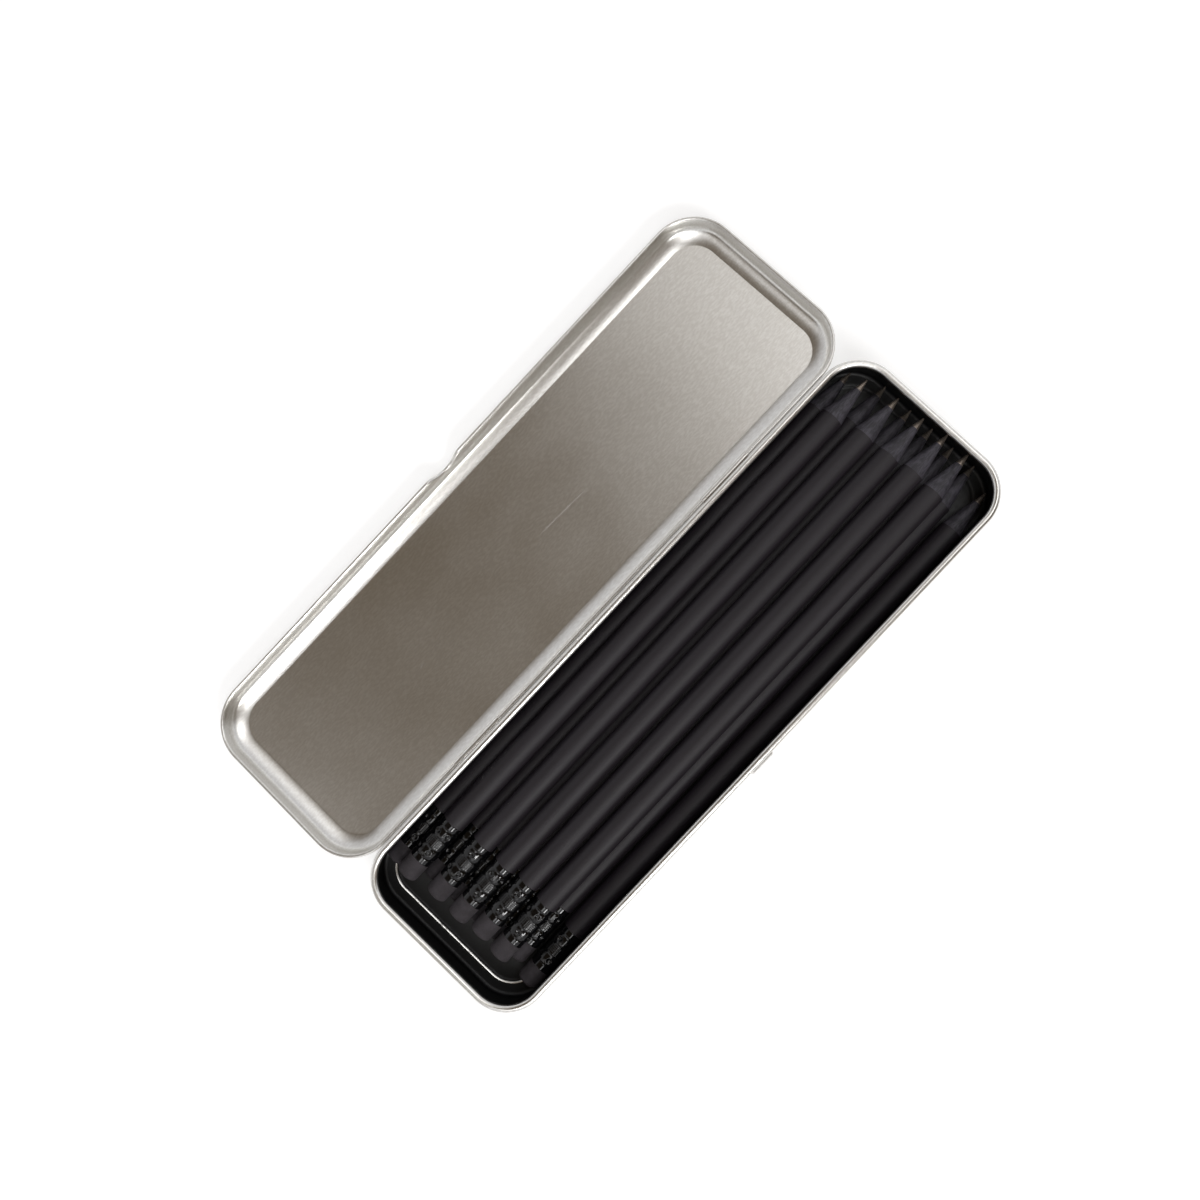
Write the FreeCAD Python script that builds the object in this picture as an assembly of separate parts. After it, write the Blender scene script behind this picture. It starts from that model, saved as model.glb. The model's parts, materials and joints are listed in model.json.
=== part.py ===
# Flat pencil tin with a hinged lid, holding twelve round drawing pencils in two layers.
# Units are millimetres. X runs along the tin towards the pencil points, Y towards the hinge, Z up.
# The origin is the middle of the face that the tin stands on.
# The lid is modelled closed and then swung open to where it lies on the table.
import FreeCAD, Part
import math
import os

Vector = FreeCAD.Vector

# Base of the tin
tin_length = 204.0
tin_width = 60.0
tin_height = 15.0
corner_radius = 12.5
sheet = 0.3
base_curl_radius = 1.05
base_curl_angle = 290.0
fold_radius = 1.5

# Pressed step that runs round the floor
step_inset = 3.4
step_width = 1.8
step_height = 0.7

# Lid: the skirt folds into a slope that flattens towards a crease round the panel
lid_side_gap = 0.3
lid_overlap = 5.1
lid_fold_radius = 2.6
lid_fold_drop = 1.7
lid_slope_radius = 12.6
lid_slope_start = 30.0
lid_slope_end = 14.0
lid_crease_radius = 0.8
lid_curl_radius = 0.6
lid_curl_angle = 255.0
table_gap = 0.02

# Thumb notch in the lid's front edge and the lug below it on the base
notch_centre = -1.0
notch_width = 14.0
notch_rise = 3.4
notch_flat = 0.8
lug_centre = -0.2
lug_width = 9.4
lug_radius = 1.3
lug_stand_out = 1.4
lug_drop = 0.3

# Two hinges, each a tongue of the base curled round the lid's edge
hinge_offset = 50.5
tongue_length = 18.0
tongue_end_gap = 0.4
hinge_clearance = 0.12
tongue_wrap_angle = 290.0
window_height = 1.5

# Pencils
body_radius = 3.45
neck_radius = 3.10
lead_radius = 1.1
point_radius = 0.25
cone_length = 14.3
eraser_radius = 3.3
eraser_round = 1.1
eraser_stand_out = 6.0
eraser_hidden = 6.5
neck_length = 7.0
glue_gap = 0.02
ferrule_radius = 3.5
ferrule_dip = 0.17
smooth_ring_width = 1.9
crimp_ring_width = 3.4
fluted_band_width = 3.3
fluted_band_dip = 0.09
resting_gap = 0.12

# How the pencils lie: spare length in the tin, and room beside the outer lower pencils
pencil_play = 12.6
side_play = 0.6

# Lower pencils from the hinge side: gap from point to end wall, how much shorter than the longest,
# and the share of the spare width that lies behind the pencil, at the eraser and at the point
lower_layer = [
    (4.4, 0.8, 0.00, 0.01),
    (0.5, 0.5, 0.46, 0.34),
    (0.7, 0.8, 0.68, 0.65),
    (0.5, 0.4, 0.80, 0.75),
    (0.6, 0.6, 0.85, 0.83),
    (0.4, 0.9, 0.95, 0.91),
    (4.1, 1.7, 0.99, 0.96),
]
# Upper pencils, each in the valley after the lower one of its number: the same gap and shortness
upper_layer = [
    (4.3, 1.4),
    (2.1, 0.8),
    (1.7, 0.4),
    (0.7, 0.4),
    (1.0, 0.0),
]

# Sizes that follow from the ones above
half_length = tin_length / 2
half_width = tin_width / 2
floor_top = sheet
ledge_top = step_height + sheet
lid_rim_closed = tin_height - lid_overlap
pivot_y = half_width + lid_side_gap + lid_curl_radius
pivot_z = lid_rim_closed + lid_curl_radius
lug_z = lid_rim_closed - lug_drop - lug_radius
ferrule_length = 2 * smooth_ring_width + 2 * crimp_ring_width + fluted_band_width
ferrule_end = eraser_stand_out + ferrule_length
pencil_pitch = 2 * ferrule_radius + resting_gap


def point(across, up):
    return Vector(across, 0, up)


def arc(centre, radius, start, end):
    """Arc in the section plane, angles in degrees from the outward direction."""
    places = []
    for angle in (start, (start + end) / 2, end):
        turn = math.radians(angle)
        places.append(centre + Vector(radius * math.cos(turn), 0, radius * math.sin(turn)))
    return Part.Arc(*places).toShape()


def line(start, end):
    return Part.LineSegment(start, end).toShape()


def joined(edges):
    """Closed face from edges in order, with straight edges put in where they don't meet."""
    path = []
    for index, edge in enumerate(edges):
        path.append(edge)
        here = edge.valueAt(edge.LastParameter)
        following = edges[(index + 1) % len(edges)]
        there = following.valueAt(following.FirstParameter)
        if here.distanceToPoint(there) > 1e-6:
            path.append(line(here, there))
    return Part.Face(Part.Wire(path))


def step_arcs(side):
    """Two tangent arcs of the floor's pressed step, running inward and down on one face of the sheet.

    side is +1 on the sheet's upper face and -1 on its lower one.
    """
    bend = (step_width ** 2 + step_height ** 2) / (4 * step_height)
    swing = math.degrees(2 * math.atan(step_height / step_width))
    first_centre = point(-step_inset, step_height + sheet / 2 - bend)
    last_centre = point(-step_inset - step_width, sheet / 2 + bend)
    first = arc(first_centre, bend + side * sheet / 2, 90, 90 + swing)
    last = arc(last_centre, bend - side * sheet / 2, swing - 90, -90)
    return [first, last]


def backwards(edges):
    """The same edges run from the other end."""
    turned = []
    for edge in reversed(edges):
        curve = edge.Curve
        start = edge.valueAt(edge.LastParameter)
        end = edge.valueAt(edge.FirstParameter)
        middle = edge.valueAt((edge.FirstParameter + edge.LastParameter) / 2)
        if curve.TypeId == "Part::GeomLine":
            turned.append(line(start, end))
        else:
            turned.append(Part.Arc(start, middle, end).toShape())
    return turned


def tray(section, panel_bottom):
    """Rounded rectangular tray: the section goes along the sides and round the corners."""
    straight_x = tin_length - 2 * corner_radius
    straight_y = tin_width - 2 * corner_radius
    solids = []
    for turns in range(4):
        heading = 90 * turns
        along = straight_y if turns % 2 == 0 else straight_x
        away = half_length if turns % 2 == 0 else half_width
        side = section.copy()
        side.translate(Vector(away, -along / 2, 0))
        wall = side.extrude(Vector(0, along, 0))
        wall.rotate(Vector(0, 0, 0), Vector(0, 0, 1), heading)
        solids.append(wall)
    corners = [(1, 1, 0), (-1, 1, 90), (-1, -1, 180), (1, -1, 270)]
    for side_x, side_y, heading in corners:
        corner = section.copy()
        corner.translate(Vector(corner_radius, 0, 0))
        bend = corner.revolve(Vector(0, 0, 0), Vector(0, 0, 1), 90)
        bend.rotate(Vector(0, 0, 0), Vector(0, 0, 1), heading)
        bend.translate(Vector(side_x * straight_x / 2, side_y * straight_y / 2, 0))
        solids.append(bend)
    middle = Part.makeBox(straight_x, straight_y, sheet)
    middle.translate(Vector(-straight_x / 2, -straight_y / 2, panel_bottom))
    return middle.multiFuse(solids).removeSplitter()


def base_section():
    """Section of the base: curl, wall, fold, ledge, step and floor, measured from the outer face."""
    inner_fold = fold_radius - sheet
    fold_centre = point(-fold_radius, step_height + fold_radius)
    curl_centre = point(-base_curl_radius, tin_height - base_curl_radius)
    inner_curl = base_curl_radius - sheet
    inside = [arc(fold_centre, inner_fold, 0, -90)] + step_arcs(1)
    outside = [arc(fold_centre, fold_radius, 0, -90)] + step_arcs(-1)
    edges = [arc(curl_centre, base_curl_radius, 0, base_curl_angle)]
    edges += [arc(curl_centre, inner_curl, base_curl_angle, 0)]
    edges += inside
    edges += [line(point(-corner_radius, sheet), point(-corner_radius, 0))]
    edges += backwards(outside)
    return joined(edges)


def upright_turned(slope):
    """Direction square to a sheet that slopes outward and down by so many degrees."""
    return Vector(math.sin(math.radians(slope)), 0, math.cos(math.radians(slope)))


def lid_bends():
    """Fold, slope and crease of the closed lid as centre, inner radius, first and last slope."""
    fold = point(lid_side_gap - lid_fold_radius, tin_height - lid_fold_drop)
    slope = fold + upright_turned(lid_slope_start) * (lid_fold_radius - lid_slope_radius)
    crease = slope + upright_turned(lid_slope_end) * (lid_slope_radius - lid_crease_radius)
    return [
        (fold, lid_fold_radius, 90, lid_slope_start),
        (slope, lid_slope_radius, lid_slope_start, lid_slope_end),
        (crease, lid_crease_radius, lid_slope_end, 0),
    ]


def panel_edge():
    """Where the lid's flat panel begins: distance out from the base's face and inner height, closed."""
    centre, radius = lid_bends()[-1][:2]
    return centre.x, centre.z + radius


def lid_section():
    """Section of the closed lid, measured from the base's outer face."""
    inside = []
    outside = []
    for centre, radius, start, end in lid_bends():
        inside.append(arc(centre, radius, 90 - start, 90 - end))
        outside.append(arc(centre, radius + sheet, 90 - start, 90 - end))
    panel_inside = panel_edge()[1]
    curl_centre = point(lid_side_gap + lid_curl_radius, pivot_z)
    curl_end = 180 + lid_curl_angle
    edges = [arc(curl_centre, lid_curl_radius - sheet, curl_end, 180)]
    edges += outside
    edges += [line(point(-corner_radius, panel_inside + sheet), point(-corner_radius, panel_inside))]
    edges += backwards(inside)
    edges += [arc(curl_centre, lid_curl_radius, 180, curl_end)]
    return joined(edges)


def block(x_range, y_range, z_range):
    size = [high - low for low, high in (x_range, y_range, z_range)]
    return Part.makeBox(*size, Vector(x_range[0], y_range[0], z_range[0]))


def hinge_centres():
    return (-hinge_offset, hinge_offset)


def tongue():
    """One hinge tongue: it leaves the base's rear wall and curls round the lid's edge."""
    inner = lid_curl_radius + hinge_clearance
    outer = inner + sheet
    centre = point(0, 0)
    start = -90
    end = start + tongue_wrap_angle
    root = half_width - sheet - pivot_y
    edges = [line(point(root, -outer), point(0, -outer))]
    edges += [arc(centre, outer, start, end)]
    edges += [arc(centre, inner, end, start)]
    edges += [line(point(0, -inner), point(root, -inner))]
    face = joined(edges)
    face.rotate(Vector(0, 0, 0), Vector(0, 0, 1), 90)
    strip = face.extrude(Vector(tongue_length, 0, 0))
    strip.translate(Vector(-tongue_length / 2, pivot_y, pivot_z))
    return strip


def capsule(radius):
    """Rounded bar along X on the base's front wall, where the lug is pressed out."""
    straight = lug_width - 2 * lug_radius
    middle_y = -half_width - lug_stand_out + lug_radius
    middle = Vector(lug_centre - straight / 2, middle_y, lug_z)
    bar = Part.makeCylinder(radius, straight, middle, Vector(1, 0, 0))
    ends = [Part.makeSphere(radius, middle), Part.makeSphere(radius, middle + Vector(straight, 0, 0))]
    return bar.multiFuse(ends)


def tin_base():
    shape = tray(base_section(), 0)
    slot_bottom = pivot_z - lid_curl_radius - hinge_clearance
    slot_top = pivot_z + window_height
    slots = []
    tongues = []
    for centre in hinge_centres():
        ends = (centre - tongue_length / 2, centre + tongue_length / 2)
        slots.append(block(ends, (half_width - 2 * sheet, half_width + sheet), (slot_bottom, slot_top)))
        strip = tongue()
        strip.translate(Vector(centre, 0, 0))
        tongues.append(strip)
    shape = shape.cut(slots)
    lug = capsule(lug_radius)
    front = block((-half_length, half_length), (-tin_width, -half_width + sheet), (0, tin_height))
    shape = shape.multiFuse(tongues + [lug.common(front)])
    return shape.cut(capsule(lug_radius - sheet)).removeSplitter()


def notch_path():
    """Centre line of the lid's curl where it rises over the thumb notch, in the plane of the skirt."""
    half_flat = notch_flat / 2
    half_notch = notch_width / 2
    run = half_notch - half_flat
    bend = (run ** 2 + notch_rise ** 2) / (4 * notch_rise)
    swing = math.degrees(2 * math.atan(notch_rise / run))
    path = [arc(point(-half_notch, bend), bend, -90, -90 + swing)]
    path += [arc(point(-half_flat, notch_rise - bend), bend, 90 + swing, 90)]
    path += [line(point(-half_flat, notch_rise), point(half_flat, notch_rise))]
    path += [arc(point(half_flat, notch_rise - bend), bend, 90, 90 - swing)]
    path += [arc(point(half_notch, bend), bend, -90 - swing, -90)]
    return path


def curl_section():
    """Section of the lid's curl on its own, with its inner side at zero."""
    centre = point(lid_curl_radius, 0)
    curl_end = 180 + lid_curl_angle
    edges = [arc(centre, lid_curl_radius, 180, curl_end)]
    edges += [arc(centre, lid_curl_radius - sheet, curl_end, 180)]
    return joined(edges)


def cut_notch(shape):
    """Take the notch out of the front skirt and carry the curl over it."""
    path = notch_path()
    skirt_front = -half_width - lid_side_gap
    start = point(-notch_width / 2, 0)
    end = point(notch_width / 2, 0)
    below = point(0, -2 * lid_curl_radius)
    outline = path + [line(end, end + below), line(end + below, start + below), line(start + below, start)]
    opening = Part.Face(Part.Wire(outline)).extrude(Vector(0, 4 * lid_curl_radius, 0))
    opening.translate(Vector(notch_centre, skirt_front - 3 * lid_curl_radius, pivot_z))
    section = curl_section()
    section.rotate(Vector(0, 0, 0), Vector(0, 0, 1), -90)
    section.translate(start)
    rim = Part.Wire(path).makePipeShell([section.OuterWire], True, False)
    rim.translate(Vector(notch_centre, skirt_front, pivot_z))
    return shape.cut(opening).fuse(rim)


def open_angle():
    """Turn past flat at which the lid's panel edge meets the table."""
    edge_out, panel_inside = panel_edge()
    across = half_width + pivot_y + edge_out
    height = panel_inside + sheet - pivot_z
    drop = pivot_z - table_gap
    return 180 + math.degrees(math.asin(drop / math.hypot(across, height)) - math.atan2(height, across))


def tin_lid():
    shape = tray(lid_section(), panel_edge()[1])
    windows = []
    skirt = (half_width + lid_side_gap - sheet / 2, half_width + lid_side_gap + 2 * sheet)
    for centre in hinge_centres():
        half = tongue_length / 2 + tongue_end_gap
        windows.append(block((centre - half, centre + half), skirt, (pivot_z, pivot_z + window_height)))
    shape = cut_notch(shape.cut(windows)).removeSplitter()
    shape.rotate(Vector(0, pivot_y, pivot_z), Vector(1, 0, 0), -open_angle())
    return shape


def turned(outline):
    """Solid of revolution about X from (x, radius) places and arcs, closed along the axis."""
    edges = joined(outline)
    return edges.revolve(Vector(0, 0, 0), Vector(1, 0, 0), 360)


def eraser():
    start = point(0, 0)
    shoulder = point(eraser_stand_out, eraser_radius)
    inner = point(eraser_stand_out, neck_radius - glue_gap)
    back = point(eraser_stand_out + eraser_hidden, neck_radius - glue_gap)
    rounding = arc(point(eraser_round, eraser_radius - eraser_round), eraser_round, 180, 90)
    side = line(point(eraser_round, eraser_radius), shoulder)
    edges = [line(start, point(0, eraser_radius - eraser_round)), rounding, side, line(shoulder, inner)]
    edges += [line(inner, back), line(back, point(back.x, 0))]
    return turned(edges)


def bulge(start, width):
    """Raised ring of the ferrule: an arc from the dip up to the full radius and back."""
    low = ferrule_radius - ferrule_dip
    places = [point(start, low), point(start + width / 2, ferrule_radius), point(start + width, low)]
    return Part.Arc(*places).toShape()


def ferrule():
    """Sleeve: smooth ring, crimped ring, straight band, crimped ring and smooth ring."""
    low = ferrule_radius - ferrule_dip
    band_radius = ferrule_radius - fluted_band_dip
    first_crimp = eraser_stand_out + smooth_ring_width
    band_start = first_crimp + crimp_ring_width
    second_crimp = band_start + fluted_band_width
    last_ring = second_crimp + crimp_ring_width
    edges = [line(point(eraser_stand_out, neck_radius), point(eraser_stand_out, low))]
    edges += [line(point(eraser_stand_out, low), point(first_crimp, low))]
    edges += [bulge(first_crimp, crimp_ring_width)]
    edges += [line(point(band_start, band_radius), point(second_crimp, band_radius))]
    edges += [bulge(second_crimp, crimp_ring_width), line(point(last_ring, low), point(ferrule_end, low))]
    edges += [line(point(ferrule_end, low), point(ferrule_end, neck_radius))]
    return turned(edges)


def cone_radius(from_point):
    return point_radius + from_point * (body_radius - point_radius) / cone_length


def exposed_lead():
    return (lead_radius - point_radius) * cone_length / (body_radius - point_radius)


def casing(length):
    """Wooden body with a reduced neck for the ferrule, a sharpened cone and a bore for the lead."""
    bore = lead_radius + glue_gap
    neck_start = ferrule_end - neck_length
    cone_end = length - exposed_lead()
    neck = neck_radius - glue_gap
    places = [point(neck_start, bore), point(neck_start, neck), point(ferrule_end, neck)]
    places += [point(ferrule_end, body_radius), point(length - cone_length, body_radius)]
    places += [point(cone_end, cone_radius(length - cone_end) + glue_gap)]
    edges = [line(places[index], places[index + 1]) for index in range(len(places) - 1)]
    edges.append(line(places[-1], point(cone_end, bore)))
    edges = [edge for edge in edges if edge.Length > 1e-4]
    return turned(edges)


def lead(length):
    start = ferrule_end - neck_length
    cone_start = length - exposed_lead()
    edges = [line(point(start, 0), point(start, lead_radius))]
    edges += [line(point(start, lead_radius), point(cone_start, lead_radius))]
    edges += [line(point(cone_start, lead_radius), point(length, point_radius))]
    edges += [line(point(length, point_radius), point(length, 0))]
    return turned(edges)


def lower_places(number):
    """y of a lower pencil's axis at the eraser and at the point."""
    outermost = half_width - sheet - ferrule_radius - side_play
    spare = 2 * outermost - (len(lower_layer) - 1) * pencil_pitch
    shares = lower_layer[number][2:]
    return [outermost - number * pencil_pitch - share * spare for share in shares]


def lower_height(number):
    """Height of a lower pencil's axis: on the floor, or on the ledge's edge beside a long wall."""
    height = floor_top + ferrule_radius + resting_gap
    ledge_edge = half_width - step_inset
    for y in lower_places(number):
        aside = ledge_edge - abs(y)
        if aside < ferrule_radius:
            over_edge = math.sqrt((ferrule_radius + resting_gap) ** 2 - aside ** 2)
            height = max(height, ledge_top + over_edge)
    return height


def upper_places(number):
    """y of an upper pencil's axis at the eraser and at the point: midway between two lower ones."""
    behind = lower_places(number)
    before = lower_places(number + 1)
    return [(behind[end] + before[end]) / 2 for end in range(2)]


def upper_height(number):
    """Height of an upper pencil's axis, resting in the valley between two lower ones."""
    height = 0
    for behind, before in zip(lower_places(number), lower_places(number + 1)):
        aside = (behind - before) / 2
        valley = math.sqrt(max(pencil_pitch ** 2 - aside ** 2, 0))
        height = max(height, valley)
    return height + max(lower_height(number), lower_height(number + 1))


def pencil(end_gap, shortness, places, height):
    """The four pieces of one pencil, laid in the tin with its slight slant."""
    length = tin_length - 2 * sheet - pencil_play - shortness
    y_eraser, y_point = places
    slant = math.asin((y_point - y_eraser) / length)
    eraser_x = half_length - sheet - end_gap - length * math.cos(slant)
    pieces = {"casing": casing(length), "lead": lead(length), "ferrule": ferrule(), "eraser": eraser()}
    for shape in pieces.values():
        shape.rotate(Vector(0, 0, 0), Vector(0, 0, 1), math.degrees(slant))
        shape.translate(Vector(eraser_x, y_eraser, height))
    return pieces


def save(name, shape):
    solid = shape.Solids[0] if len(shape.Solids) == 1 else shape
    if not solid.isValid():
        raise ValueError(name + " is not a valid solid")
    print(name, len(shape.Solids), "solid", round(shape.Volume, 2), "mm3")
    solid.exportStep(os.path.join("parts", name + ".step"))


def save_pencil(name, pieces):
    for kind, shape in pieces.items():
        save(name + "_" + kind, shape)


def main():
    os.makedirs("parts", exist_ok=True)
    save("tin_base", tin_base())
    save("tin_lid", tin_lid())
    for number, (end_gap, shortness, *_) in enumerate(lower_layer):
        pieces = pencil(end_gap, shortness, lower_places(number), lower_height(number))
        save_pencil("lower_pencil_" + str(number + 1), pieces)
    for number, (end_gap, shortness) in enumerate(upper_layer):
        pieces = pencil(end_gap, shortness, upper_places(number), upper_height(number))
        save_pencil("upper_pencil_" + str(number + 1), pieces)
    print("hinge axis at y", round(pivot_y, 3), "z", round(pivot_z, 3), "lid opens", round(open_angle(), 3))


main()
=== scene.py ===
import json
import math
import random

import bmesh
import bpy
from mathutils import Matrix, Vector

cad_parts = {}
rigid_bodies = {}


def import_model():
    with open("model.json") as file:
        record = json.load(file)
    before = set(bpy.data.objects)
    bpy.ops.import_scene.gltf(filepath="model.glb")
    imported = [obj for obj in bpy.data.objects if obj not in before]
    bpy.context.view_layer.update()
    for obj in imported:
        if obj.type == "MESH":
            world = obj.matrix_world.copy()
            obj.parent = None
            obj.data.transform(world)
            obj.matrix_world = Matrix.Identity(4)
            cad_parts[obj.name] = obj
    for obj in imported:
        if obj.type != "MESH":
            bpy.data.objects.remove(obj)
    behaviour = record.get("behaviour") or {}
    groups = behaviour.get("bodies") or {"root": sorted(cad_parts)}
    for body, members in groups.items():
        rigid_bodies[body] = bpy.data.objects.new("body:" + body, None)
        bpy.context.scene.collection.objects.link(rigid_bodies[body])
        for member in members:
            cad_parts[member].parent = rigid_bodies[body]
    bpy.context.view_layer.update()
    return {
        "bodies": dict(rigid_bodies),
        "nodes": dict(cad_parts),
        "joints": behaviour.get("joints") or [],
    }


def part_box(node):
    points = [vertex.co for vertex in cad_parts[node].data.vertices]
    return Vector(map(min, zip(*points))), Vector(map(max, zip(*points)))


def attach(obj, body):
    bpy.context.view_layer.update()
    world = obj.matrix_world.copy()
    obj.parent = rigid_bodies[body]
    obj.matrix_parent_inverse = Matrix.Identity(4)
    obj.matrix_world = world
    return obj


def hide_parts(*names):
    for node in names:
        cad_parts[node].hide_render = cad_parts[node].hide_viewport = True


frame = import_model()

mm = 0.001
scene = bpy.context.scene
print("frame loaded:", len(frame["nodes"]), "nodes")

# Small helpers


def linearColour(hexText):
    parts = [int(hexText[i:i + 2], 16) / 255 for i in (1, 3, 5)]
    linear = [p / 12.92 if p <= 0.04045 else ((p + 0.055) / 1.055) ** 2.4 for p in parts]
    return (*linear, 1.0)


def addNode(tree, kind, settings=None, inputs=None):
    node = tree.nodes.new(kind)
    for name, value in (settings or {}).items():
        setattr(node, name, value)
    for name, value in (inputs or {}).items():
        if isinstance(value, bpy.types.NodeSocket):
            tree.links.new(value, node.inputs[name])
        else:
            node.inputs[name].default_value = value
    return node


def newMaterial(name):
    material = bpy.data.materials.new(name)
    material.use_nodes = True
    tree = material.node_tree
    tree.nodes.clear()
    shader = addNode(tree, "ShaderNodeBsdfPrincipled")
    addNode(tree, "ShaderNodeOutputMaterial", inputs={"Surface": shader.outputs["BSDF"]})
    return material, tree, shader


def stretchedNoise(tree, coordinates, grainSize, detail=3.0):  # grain sizes along X, Y and Z in mm
    scale = [1 / (size * mm) for size in grainSize]
    mapped = addNode(tree, "ShaderNodeMapping", inputs={"Vector": coordinates, "Scale": scale})
    return addNode(tree, "ShaderNodeTexNoise", inputs={"Vector": mapped.outputs["Vector"], "Scale": 1.0, "Detail": detail})


def ramp(tree, value, low, high, first, last):  # value from low to high becomes first to last
    settings = {"interpolation_type": "SMOOTHSTEP"}
    inputs = {"Value": value, "From Min": low, "From Max": high, "To Min": first, "To Max": last}
    return addNode(tree, "ShaderNodeMapRange", settings, inputs).outputs["Result"]


def colourMix(tree, share, first, last):
    node = addNode(tree, "ShaderNodeMix", {"data_type": "RGBA"})
    for socket, value in ((node.inputs[0], share), (node.inputs[6], first), (node.inputs[7], last)):
        if isinstance(value, bpy.types.NodeSocket):
            tree.links.new(value, socket)
        else:
            socket.default_value = value
    return node.outputs[2]


def bumpFrom(tree, height, depth, previous=None):  # depth is in mm
    inputs = {"Height": height, "Distance": depth * mm, "Strength": 1.0}
    if previous is not None:
        inputs["Normal"] = previous
    return addNode(tree, "ShaderNodeBump", inputs=inputs).outputs["Normal"]


def addPiece(name, mesh, materials, body, replaced, sharpAngle=35):
    for material in materials:
        mesh.materials.append(material)
    mesh.shade_smooth()
    mesh.set_sharp_from_angle(angle=math.radians(sharpAngle))
    piece = bpy.data.objects.new(name, mesh)
    scene.collection.objects.link(piece)
    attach(piece, body)
    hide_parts(*replaced)
    return piece


# Finishes

tinplateFinish = {
    "colour": "#dddbd7",
    "lighter": "#ecebe8",
    "roughness": (0.275, 0.295),
    "grain": (1.4, 0.50, 0.50),  # rolling marks, drawn coarser than the real 0.1 mm so that they show
    "grainDepth": 0.016,
    "handling": (26.0, 18.0, 18.0),
    "scratches": [((1.0, 59.3), (25.0, 58.3)), ((33.0, 68.0), (35.5, 64.5)), ((-49.0, 57.6), (-45.5, 59.2))],
    "scratchWidth": 0.07,
    "scratchRoughness": 0.40,
}


def scratchAlong(tree, place, start, end):  # 1 on a straight hairline between two places, else 0
    length = math.hypot(end[0] - start[0], end[1] - start[1])
    along = ((end[0] - start[0]) / length, (end[1] - start[1]) / length, 0.0)
    across = (-along[1], along[0], 0.0)
    origin = (start[0] * mm, start[1] * mm, 0.0)
    offset = addNode(tree, "ShaderNodeVectorMath", {"operation": "SUBTRACT"}, {0: place, 1: origin}).outputs[0]
    run = addNode(tree, "ShaderNodeVectorMath", {"operation": "DOT_PRODUCT"}, {0: offset, 1: along}).outputs[1]
    side = addNode(tree, "ShaderNodeVectorMath", {"operation": "DOT_PRODUCT"}, {0: offset, 1: across}).outputs[1]
    side = addNode(tree, "ShaderNodeMath", {"operation": "ABSOLUTE"}, {0: side}).outputs[0]
    width = tinplateFinish["scratchWidth"] * mm
    middle = length / 2 * mm
    run = addNode(tree, "ShaderNodeMath", {"operation": "SUBTRACT"}, {0: run, 1: middle}).outputs[0]
    run = addNode(tree, "ShaderNodeMath", {"operation": "ABSOLUTE"}, {0: run}).outputs[0]
    near, within = ramp(tree, side, width, width * 2, 1.0, 0.0), ramp(tree, run, middle * 0.6, middle, 1.0, 0.0)
    return addNode(tree, "ShaderNodeMath", {"operation": "MULTIPLY"}, {0: near, 1: within}).outputs[0]


def tinplateLook(tree):
    # colour, roughness and normal of tinplate, shared by bare sheet and by worn places in the lacquer
    size = tinplateFinish
    place = addNode(tree, "ShaderNodeTexCoord").outputs["Object"]
    grain = stretchedNoise(tree, place, size["grain"], 4.0).outputs["Fac"]
    handled = stretchedNoise(tree, place, size["handling"], 2.0).outputs["Fac"]
    roughness = ramp(tree, handled, 0.3, 0.7, *size["roughness"])
    for start, end in size["scratches"]:  # torn metal scatters the light, so a scratch is rougher
        torn = ramp(tree, scratchAlong(tree, place, start, end), 0.0, 1.0, 0.0, size["scratchRoughness"])
        roughness = addNode(tree, "ShaderNodeMath", {"operation": "MAXIMUM"}, {0: roughness, 1: torn}).outputs[0]
    colour = colourMix(tree, ramp(tree, grain, 0.35, 0.75, 0.0, 1.0), linearColour(size["colour"]),
                       linearColour(size["lighter"]))
    return colour, roughness, bumpFrom(tree, grain, size["grainDepth"])


def makeTinplate():
    # Tinplate: steel sheet, cold rolled and tinned. Rolling leaves a fine grain along the sheet,
    # so it looks satin, with soft streaks and sharp lights only where it is bent.
    material, tree, shader = newMaterial("rolledTinplate")
    colour, roughness, normal = tinplateLook(tree)
    tree.links.new(colour, shader.inputs["Base Color"])
    tree.links.new(roughness, shader.inputs["Roughness"])
    tree.links.new(normal, shader.inputs["Normal"])
    shader.inputs["Metallic"].default_value = 1.0
    return material


lacquerFinish = {"colour": "#040405", "roughness": (0.44, 0.52), "peel": (0.9, 0.9, 0.9), "peelDepth": 0.003}


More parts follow.
